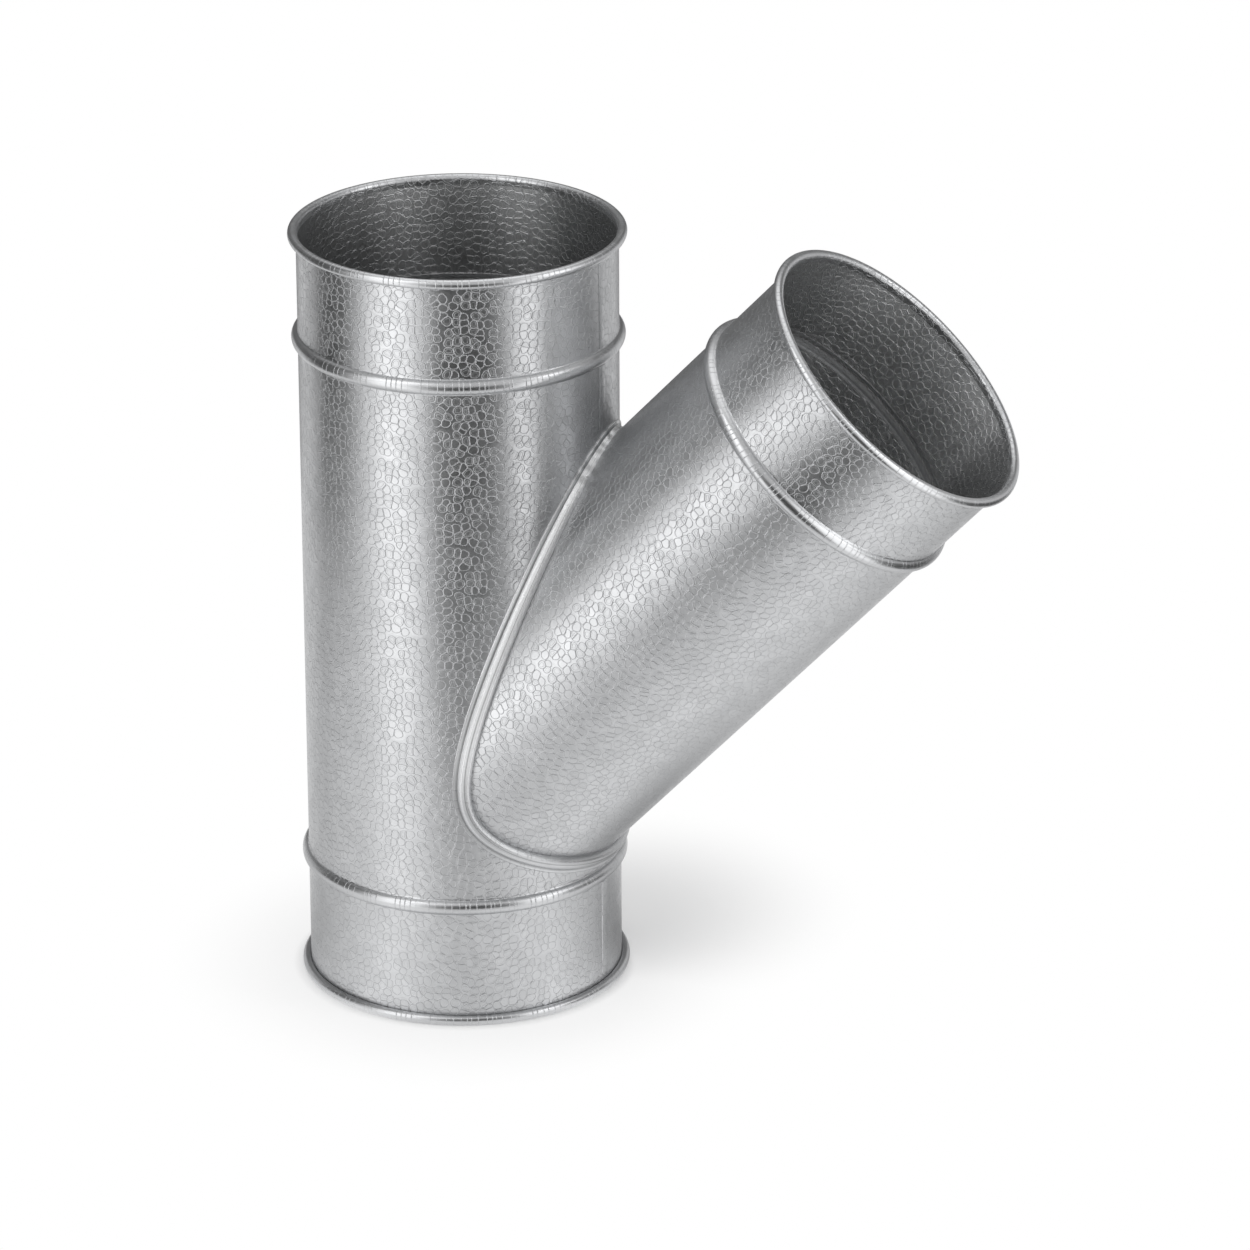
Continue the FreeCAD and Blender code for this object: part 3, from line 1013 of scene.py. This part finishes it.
@dataclass(frozen=True)
class EmbossedSheet:
    """Galvanised sheet with an embossed net on its walls, rolled smooth on curls and beads, and painted light
    and shade inside.
    """

    name: str
    frame: TubeFrame
    zinc: Zinc
    cell: float = 0.0044
    relief: float = 0.000075
    line_shade: float = 0.12
    line_tone: float = -0.2
    line_dull: float = 0.8
    inner_dull: float = 0.3
    rolled_dull: float = 0.1
    rolled_tone: float = 0.6
    rolled_edge: tuple[float, float] = (0.0002, 0.0009)
    mark_relief: float = 1.0
    mark_spacing: float = 0.003
    cloud_scale: float = 55.0
    cloud_tone: float = 0.6
    cell_tone: float = 0.3
    tone_reach: tuple[float, float] = (0.1, 1.0)
    polish_reach: tuple[float, float] = (0.2, 1.0)

    def build(self, groups: GroupSet) -> bpy.types.Material:
        """Builds the material.

        Args:
            groups: Shared node groups.

        Returns:
            The material.
        """
        material, board, shader = metal(self.name)
        spot = self.own_frame(board)
        place = board.group(groups.place, Place=spot, Radius=self.frame.radius)
        around, along, proud = (place.outputs[name] for name in ("Around", "Along", "Proud"))
        inner_mark, lean_mark = (
            board.add("ShaderNodeAttribute", attribute_name=name).outputs["Fac"]
            for name in (INNER_MARK, HOLLOW_MARK)
        )
        side = board.group(
            groups.inner, Inner=inner_mark, Lean=lean_mark, Along=along,
            Low=self.frame.inner_low, High=self.frame.inner_high,
        )
        inside, hollow, depth = (side.outputs[name] for name in ("Inside", "To Mouth", "To Depth"))
        net = board.group(groups.net, Around=around, Along=along, Cell=self.cell)
        marks = board.group(groups.marks, Around=around, Spacing=self.mark_spacing)
        rolled = board.math("SUBTRACT", board.ramp(proud, *self.rolled_edge), inside, clamp=True)
        walled = board.math("SUBTRACT", 1.0, rolled)
        marked = board.math("MULTIPLY", marks.outputs["Height"], rolled)
        line = board.math("MULTIPLY", net.outputs["Line"], walled)
        ridged = board.math("MAXIMUM", line, marked)

        raised = board.math("SUBTRACT", 1.0, board.math("MULTIPLY", inside, 1.0 - self.frame.inner_relief))
        height = board.math("MULTIPLY", net.outputs["Height"], board.math("MULTIPLY", walled, raised))
        height = board.math("MULTIPLY_ADD", marked, self.mark_relief, height)
        board.feed(shader.inputs["Normal"], board.relief(height, self.relief))

        cloud = board.noise(spot, self.cloud_scale, 3.0, 0.55, dimensions="3D")
        tone = board.math("MULTIPLY", cloud.outputs["Fac"], self.cloud_tone)
        tone = board.math("MULTIPLY_ADD", net.outputs["Tone"], self.cell_tone, tone)
        tone = board.math("MAXIMUM", tone, board.math("MULTIPLY", rolled, self.rolled_tone))
        tone = board.math("MULTIPLY_ADD", line, self.line_tone, tone)
        colour = blended(board, board.ramp(tone, *self.tone_reach), self.zinc.dark, self.zinc.light)
        # Painted light and shade inside: glint bands blend the inner face from the dark hollow tone to the
        # bright one, and bead flanks that face deeper get the bright tone.
        angle = board.math("DEGREES", board.math("DIVIDE", around, self.frame.radius))
        painted_glint_tone = board.bands(angle, self.frame.painted_inner_glints)
        inner = blended(board, painted_glint_tone, self.zinc.hollow, self.zinc.bright)
        inner = blended(board, depth, inner, self.zinc.bright)
        colour = blended(board, inside, colour, inner)
        # Net lines and roll marks are darker in tone; hollow bead flanks that face the mouth get the dark
        # hollow tone as painted shade.
        dark_lines_and_painted_shade = board.math("MAXIMUM", board.math("MULTIPLY", ridged, self.line_shade), hollow)
        board.feed(shader.inputs["Base Color"], blended(board, dark_lines_and_painted_shade, colour, self.zinc.hollow))

        rough = board.ramp(tone, *self.polish_reach, self.zinc.worn, self.zinc.polish)
        dull = board.math("MAXIMUM", board.math("MULTIPLY", ridged, self.line_dull), hollow)
        for part, amount in ((inside, self.inner_dull), (rolled, self.rolled_dull)):
            dull = board.math("MAXIMUM", dull, board.math("MULTIPLY", part, amount))
        gap = board.math("SUBTRACT", self.zinc.matte, rough)
        board.feed(shader.inputs["Roughness"], board.math("MULTIPLY_ADD", gap, dull, rough))
        return material

    def own_frame(self, board: NodeBoard) -> bpy.types.NodeSocket:
        """Turns object coordinates into the tube's own frame, its axis upward and its edge behind.

        Args:
            board: Board of the material.

        Returns:
            The place in that frame.
        """
        place = board.add("ShaderNodeTexCoord").outputs["Object"]
        steps = (
            ((0.0, 0.0, self.frame.height), (0.0, self.frame.lean, 0.0)),
            ((0.0, 0.0, 0.0), (0.0, 0.0, self.frame.edge_azimuth + math.pi)),
        )
        for location, rotation in steps:
            turn = board.add("ShaderNodeMapping", vector_type="TEXTURE")
            place = board.fill(turn, Vector=place, Location=location, Rotation=rotation).outputs["Vector"]
        return place


@dataclass(frozen=True)
class RolledSeam:
    """Smooth zinc of the rolled seam, with lines along it, lumps where it closes in the corner, and painted
    light and shade.

    Places across the seam count from 0 at the roll's foot on the run, once round to 1, and heights are in
    metres.
    """

    zinc: Zinc
    relief: float = 0.00006
    mark_spacing: float = 0.003
    streaks: tuple[float, float] = (18.0, 70.0)
    streak_reach: tuple[float, float] = (0.35, 0.65)
    streak_tone: float = 0.7
    lump_scale: float = 420.0
    lump_relief: float = 9.0
    lumpy: tuple[float, float] = (0.262, 0.28)
    # Heights over which the seam's upper part turns to the bright tone, a painted highlight.
    bright: tuple[float, float] = (0.115, 0.15)
    # Painted shade in the crease between both strands, at the foot and at the root of the roll.
    crease: tuple[float, float, float] = (0.576, 0.04, 0.4)
    foot: tuple[float, float, float] = (0.005, 0.02, 0.3)
    root: float = 0.13
    root_painted_shade: tuple[float, float, float] = (0.02, 0.045, 0.2)
    # Painted shade in the dents where the roll is pinched.
    pinch_reach: tuple[float, float] = (0.1, 0.9)
    pinch_painted_shade: float = 0.6
    roughness: float = 0.62

    def build(self, groups: GroupSet) -> bpy.types.Material:
        """Builds the material.

        Args:
            groups: Shared node groups.

        Returns:
            The material.
        """
        material, board, shader = metal("rolled_seam")
        along, across, _ = board.split(board.add("ShaderNodeUVMap", uv_map=SEAM_MAP).outputs[0])
        where = board.add("ShaderNodeTexCoord").outputs["Object"]
        level = board.split(where)[2]
        lumpy = board.ramp(level, *self.lumpy)
        # Share of the seam's upper part that takes the painted highlight; it also sets the roughness.
        upper = board.ramp(level, *self.bright)
        spot = board.place(*(
            board.math("MULTIPLY", way, scale) for way, scale in zip((along, across), self.streaks)
        ))
        streak = board.noise(spot, 1.0, 2.0).outputs["Fac"]

        marks = board.group(groups.marks, Around=along, Spacing=self.mark_spacing)
        lumps = board.noise(where, self.lump_scale, 1.0, dimensions="3D").outputs["Fac"]
        lumps = board.math("MULTIPLY", lumps, board.math("MULTIPLY", lumpy, self.lump_relief))
        height = board.math("ADD", board.math("ADD", lumps, streak), marks.outputs["Height"])
        board.feed(shader.inputs["Normal"], board.relief(height, self.relief))

        # Painted shade across the seam and in its dents; the streaks are darker lines along it.
        tone = self.painted_shade_across(board, across)
        fine = board.ramp(board.ramp(streak, *self.streak_reach), 0.0, 1.0, self.streak_tone, 1.0)
        dented = board.add("ShaderNodeAttribute", attribute_name=DENT_MARK).outputs["Fac"]
        for share in (fine, board.ramp(dented, *self.pinch_reach, 1.0, self.pinch_painted_shade)):
            tone = board.math("MULTIPLY", tone, share)
        # Painted highlight: the seam's upper part turns to the bright tone, and painted shade darkens the
        # base towards the hollow tone.
        crest = blended(board, upper, self.zinc.light, self.zinc.bright)
        board.feed(shader.inputs["Base Color"], blended(board, tone, self.zinc.hollow, crest))
        soft = board.math("SUBTRACT", upper, lumpy, clamp=True)
        rough = board.ramp(soft, 0.0, 1.0, self.zinc.worn, self.roughness)
        board.feed(shader.inputs["Roughness"], rough)
        return material

    def painted_shade_across(self, board: NodeBoard, across: bpy.types.NodeSocket) -> bpy.types.NodeSocket:
        """Paints shade into the crease between both strands, at the foot and at the root of the roll.

        Args:
            board: Board of the material.
            across: Place across the seam.

        Returns:
            The tone, from 0 to 1.
        """
        middle, half, amount = self.crease
        off_crease = board.math("ABSOLUTE", board.math("SUBTRACT", across, middle))
        off_root = board.math("ABSOLUTE", board.math("SUBTRACT", across, self.root))
        tone = board.ramp(off_crease, 0.0, half, amount, 1.0)
        for off, (near, far, low) in (
            (board.math("PINGPONG", across, 0.5), self.foot), (off_root, self.root_painted_shade),
        ):
            tone = board.math("MULTIPLY", tone, board.ramp(off, near, far, low, 1.0))
        return tone


@dataclass(frozen=True)
class Board:
    """An upright board beside the fitting that only reflections show, from one azimuth to another."""

    start: float
    stop: float
    glow: float
    distance: float = 0.46
    bottom: float = 0.0
    top: float = 0.46

    @property
    def azimuth(self) -> float:
        """Angle of the board's middle."""
        return (self.start + self.stop) / 2.0

    @property
    def width(self) -> float:
        """Width of the board."""
        return 2.0 * self.distance * math.tan(math.radians(self.stop - self.start) / 2.0)


@dataclass(frozen=True)
class Lamp:
    """A soft box that points at the fitting, in degrees, metres and watts."""

    name: str
    azimuth: float
    elevation: float
    distance: float
    size: tuple[float, float]
    power: float


@dataclass(frozen=True)
class PaintedShadow:
    """A round patch of painted shadow on the floor, in metres to the right of the fitting and behind it.

    It begins to fade at the near distance and ends at the far one.
    """

    middle: tuple[float, float]
    near: float
    far: float
    amount: float


@dataclass(frozen=True)
class Studio:
    """Floor, world, lamps, boards and camera.

    Lengths are in metres. Azimuths are in degrees from straight in front of the camera, to the right.
    """

    camera_azimuth: float = 18.87
    camera_elevation: float = 22.08
    camera_roll: float = -0.21
    camera_distance: float = 3.5
    focal_length: float = 199.25
    sensor_width: float = 36.0
    aim: tuple[float, float] = (0.08224, 0.18435)
    floor_radius: float = 12.0
    floor_sides: int = 64
    floor_paint: tuple[float, float, float, float] = (0.93, 0.93, 0.93, 1.0)
    room_glow: float = 0.7
    # Painted shadows beside the fitting: there the white glow gives way to the darker lit paint, which holds
    # the real shadow.
    painted_shadows: tuple[PaintedShadow, ...] = (
        PaintedShadow((0.0, 0.0), 0.083, 0.094, 0.85),
        PaintedShadow((0.0, 0.0), 0.085, 0.16, 0.35),
        PaintedShadow((0.075, 0.06), 0.02, 0.135, 1.0),
    )
    glossy_white: float = 0.62
    bands: tuple[Band, ...] = (
        Band(-3.0, 60.0, 0.2),
        Band(-43.0, 26.0, 0.45),
        Band(-3.0, 22.0, -0.4),
        Band(50.0, 24.0, 0.45),
        Band(112.0, 26.0, -0.5),
        Band(-112.0, 26.0, -0.35),
    )
    band_reach: tuple[float, float] = (-0.1, 0.3)
    near_bands: tuple[Band, ...] = (
        Band(0.0, 90.0, 0.12),
        Band(-35.0, 24.0, 0.2),
        Band(40.0, 24.0, 0.2),
        Band(-96.0, 30.0, -0.45),
        Band(98.0, 36.0, -0.75),
    )
    near_reach: tuple[float, float] = (0.13, 0.22)
    middle: tuple[float, float, float] = (0.08, 0.0, 0.2)
    lamps: tuple[Lamp, ...] = (
        Lamp("key", -52.0, 38.0, 1.6, (0.7, 1.4), 6.0),
        Lamp("fill", 72.0, 30.0, 1.8, (0.5, 1.4), 6.0),
        Lamp("top", 180.0, 72.0, 1.8, (1.4, 1.4), 5.0),
    )
    boards: tuple[Board, ...] = (
        Board(-19.0, 33.0, 0.0),
        Board(39.0, 61.5, 1.85),
        Board(65.0, 104.0, 0.03, top=0.27),
        Board(-112.0, -71.0, 0.03, bottom=0.08, top=0.9),
        Board(-55.0, -30.0, 1.95, top=0.6),
        Board(150.0, 210.0, 0.15, distance=0.66, top=0.95),
        Board(100.0, 150.0, 0.15, distance=0.66, bottom=0.5, top=0.95),
        Board(-150.0, -112.0, 0.15, distance=0.66, bottom=0.32, top=0.95),
    )

    def direction(self, azimuth: float, elevation: float) -> Vector:
        """Direction from the fitting, with the azimuth counted from straight in front."""
        a, e = math.radians(azimuth), math.radians(elevation)
        return Vector((math.sin(a) * math.cos(e), -math.cos(a) * math.cos(e), math.sin(e)))

    def build_camera(self) -> None:
        """Places the camera."""
        a = math.radians(self.camera_azimuth)
        back = self.direction(self.camera_azimuth, self.camera_elevation)
        right = Vector((math.cos(a), math.sin(a), 0.0))
        aim = Vector((right.x * self.aim[0], right.y * self.aim[0], self.aim[1]))
        turn = Matrix((right, back.cross(right), back)).transposed()
        turn = turn @ Matrix.Rotation(math.radians(self.camera_roll), 3, "Z")
        camera = bpy.data.objects.new("camera", bpy.data.cameras.new("camera"))
        camera.data.lens = self.focal_length
        camera.data.sensor_width = self.sensor_width
        camera.matrix_world = Matrix.Translation(aim + back * self.camera_distance) @ turn.to_4x4()
        bpy.context.scene.collection.objects.link(camera)
        bpy.context.scene.camera = camera

    def build_world(self) -> None:
        """Makes the even pale surroundings."""
        world = bpy.data.worlds.new("studio")
        bpy.context.scene.world = world
        world.use_nodes = True
        world.node_tree.nodes.clear()
        board = NodeBoard(world.node_tree)
        path = board.add("ShaderNodeLightPath")
        seen = board.math("MAXIMUM", path.outputs["Is Camera Ray"], path.outputs["Is Transmission Ray"])
        strength = board.math("MULTIPLY_ADD", seen, 1.0 - self.room_glow, self.room_glow)
        background = board.fill(board.add("ShaderNodeBackground"), Color=WHITE, Strength=strength)
        board.fill(board.add("ShaderNodeOutputWorld"), Surface=background.outputs[0])

    def build_floor(self) -> None:
        """Makes the pale floor, plain white but for a painted shadow beside the fitting, which holds the real
        one.
        """
        mesh = bmesh.new()
        bmesh.ops.create_circle(mesh, cap_ends=True, segments=self.floor_sides, radius=self.floor_radius)
        floor = finished(mesh, "floor")
        material, board = empty_material("floor")
        paint = board.fill(board.add("ShaderNodeBsdfDiffuse"), Color=self.floor_paint)
        white = board.add("ShaderNodeEmission")
        place = board.add("ShaderNodeTexCoord").outputs["Object"]
        shade = 0.0
        for spot in self.painted_shadows:
            shade = board.math("MAXIMUM", shade, self.painted_shadow_near(board, place, spot))
        path = board.add("ShaderNodeLightPath")
        bands = board.math("MULTIPLY", self.floor_bands(board, place), path.outputs["Is Glossy Ray"])
        board.feed(white.inputs["Strength"], board.math("ADD", bands, 1.0))
        # Painted shadow: for camera rays the shadows hold back the white glow, so the darker lit paint shows
        # with its real shadow.
        white_seen = board.math("MULTIPLY", board.math("SUBTRACT", 1.0, shade), path.outputs["Is Camera Ray"])
        white_seen = board.math("MULTIPLY_ADD", path.outputs["Is Glossy Ray"], self.glossy_white, white_seen)
        mix = board.add("ShaderNodeMixShader")
        for socket, source in zip(mix.inputs, (white_seen, paint.outputs[0], white.outputs[0])):
            board.feed(socket, source)
        board.fill(board.add("ShaderNodeOutputMaterial"), Surface=mix.outputs[0])
        floor.data.materials.append(material)

    def floor_bands(self, board: NodeBoard, place: bpy.types.NodeSocket) -> bpy.types.NodeSocket:
        """Adds the wedges of the floor, which grow stronger away from the fitting.

        Args:
            board: Board of the floor's material.
            place: Place on the floor.

        Returns:
            The sum of their amounts.
        """
        spun = board.add("ShaderNodeMapping", vector_type="TEXTURE")
        turn = (0.0, 0.0, math.radians(self.camera_azimuth - 90.0))
        ahead, aside, _ = board.split(board.fill(spun, Vector=place, Rotation=turn).outputs["Vector"])
        azimuth = board.math("DEGREES", board.math("ARCTAN2", aside, ahead))
        reach = board.add("ShaderNodeVectorMath", operation="LENGTH")
        board.feed(reach.inputs[0], place)
        near = board.math("SUBTRACT", 1.0, board.ramp(reach.outputs["Value"], *self.near_reach))
        near = board.math("MULTIPLY", board.bands(azimuth, self.near_bands), near)
        far = board.ramp(reach.outputs["Value"], *self.band_reach)
        return board.math("MULTIPLY_ADD", board.bands(azimuth, self.bands), far, near)

    def painted_shadow_near(self, board: NodeBoard, place: bpy.types.NodeSocket, shade: PaintedShadow) -> bpy.types.NodeSocket:
        """Adds the amount of one painted shadow.

        Args:
            board: Board of the floor's material.
            place: Place on the floor.
            shade: The shadow.

        Returns:
            The amount.
        """
        a = math.radians(self.camera_azimuth)
        right, behind = shade.middle
        spot = (right * math.cos(a) - behind * math.sin(a), right * math.sin(a) + behind * math.cos(a), 0.0)
        span = board.add("ShaderNodeVectorMath", operation="DISTANCE")
        board.feed(span.inputs[0], place)
        board.feed(span.inputs[1], spot)
        return board.ramp(span.outputs["Value"], shade.near, shade.far, shade.amount, 0.0)

    def build_lamps(self) -> None:
        """Hangs the soft boxes."""
        for lamp in self.lamps:
            light = bpy.data.lights.new(lamp.name, "AREA")
            light.shape = "RECTANGLE"
            light.size, light.size_y = lamp.size
            light.energy = lamp.power
            holder = bpy.data.objects.new(lamp.name, light)
            out = self.direction(self.camera_azimuth + lamp.azimuth, lamp.elevation)
            holder.location = Vector(self.middle) + out * lamp.distance
            holder.rotation_euler = out.to_track_quat("Z", "Y").to_euler()
            bpy.context.scene.collection.objects.link(holder)

    def build_boards(self) -> None:
        """Stands up the boards."""
        for number, board in enumerate(self.boards, start=1):
            out = self.direction(self.camera_azimuth + board.azimuth, 0.0)
            mesh = bmesh.new()
            bmesh.ops.create_grid(mesh, x_segments=1, y_segments=1, size=0.5)
            bmesh.ops.scale(mesh, vec=(board.width, board.top - board.bottom, 1.0), verts=mesh.verts)
            turn = out.to_track_quat("Z", "Y").to_matrix().to_4x4()
            lift = Vector((0.0, 0.0, (board.bottom + board.top) / 2.0))
            place = Matrix.Translation(out * board.distance + lift) @ turn
            bmesh.ops.transform(mesh, matrix=place, verts=mesh.verts)
            sheet = finished(mesh, f"board_{number}")
            material, nodes = empty_material(sheet.name)
            glow = nodes.fill(nodes.add("ShaderNodeEmission"), Strength=board.glow)
            nodes.fill(nodes.add("ShaderNodeOutputMaterial"), Surface=glow.outputs[0])
            sheet.data.materials.append(material)
            sheet.visible_camera = False
            sheet.visible_diffuse = False
            sheet.visible_shadow = False

    def build(self) -> None:
        """Builds the whole studio."""
        bpy.context.scene.view_settings.view_transform = "Standard"
        self.build_camera()
        self.build_world()
        self.build_floor()
        self.build_lamps()
        self.build_boards()
        log.info("studio: %d lamps, %d boards", len(self.lamps), len(self.boards))


def main() -> None:
    """Builds the fitting and its studio."""
    logging.basicConfig(level=logging.INFO, format="%(name)s: %(message)s")
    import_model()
    form, sheet = FittingForm(), SheetForm()
    groups = GroupSet(place_on_tube_group(), inner_side_group(), NetForm().build(), MarkForm().build())
    run, zinc, curl = RunTube(form, sheet), Zinc(), 2.0 * sheet.curl_radius
    # Each tube's inner face gets painted glints over a painted shade.
    run_frame = TubeFrame(
        radius=form.run_radius, inner_low=curl, inner_high=form.run_height - curl, inner_relief=0.95,
        painted_inner_glints=(Band(-62.0, 110.0, 0.42), Band(-43.0, 20.0, 0.55), Band(-88.0, 22.0, 0.4)),
        edge_azimuth=math.radians(run.lap_azimuth),
    )
    branch_frame = TubeFrame(
        radius=form.branch_radius, inner_low=-form.branch_reach, inner_high=form.branch_reach - curl,
        inner_relief=0.85, height=form.junction, lean=form.tilt,
        painted_inner_glints=(Band(-85.0, 120.0, 0.85), Band(-60.0, 18.0, 0.15), Band(-118.0, 32.0, 1.2)),
    )
    run.build(EmbossedSheet("embossed_run", run_frame, zinc).build(groups))
    BranchTube(form, sheet).build(EmbossedSheet("embossed_branch", branch_frame, zinc).build(groups))
    SaddleSeam(form, sheet).build(RolledSeam(zinc).build(groups))
    Studio().build()


if __name__ == "__main__":
    main()
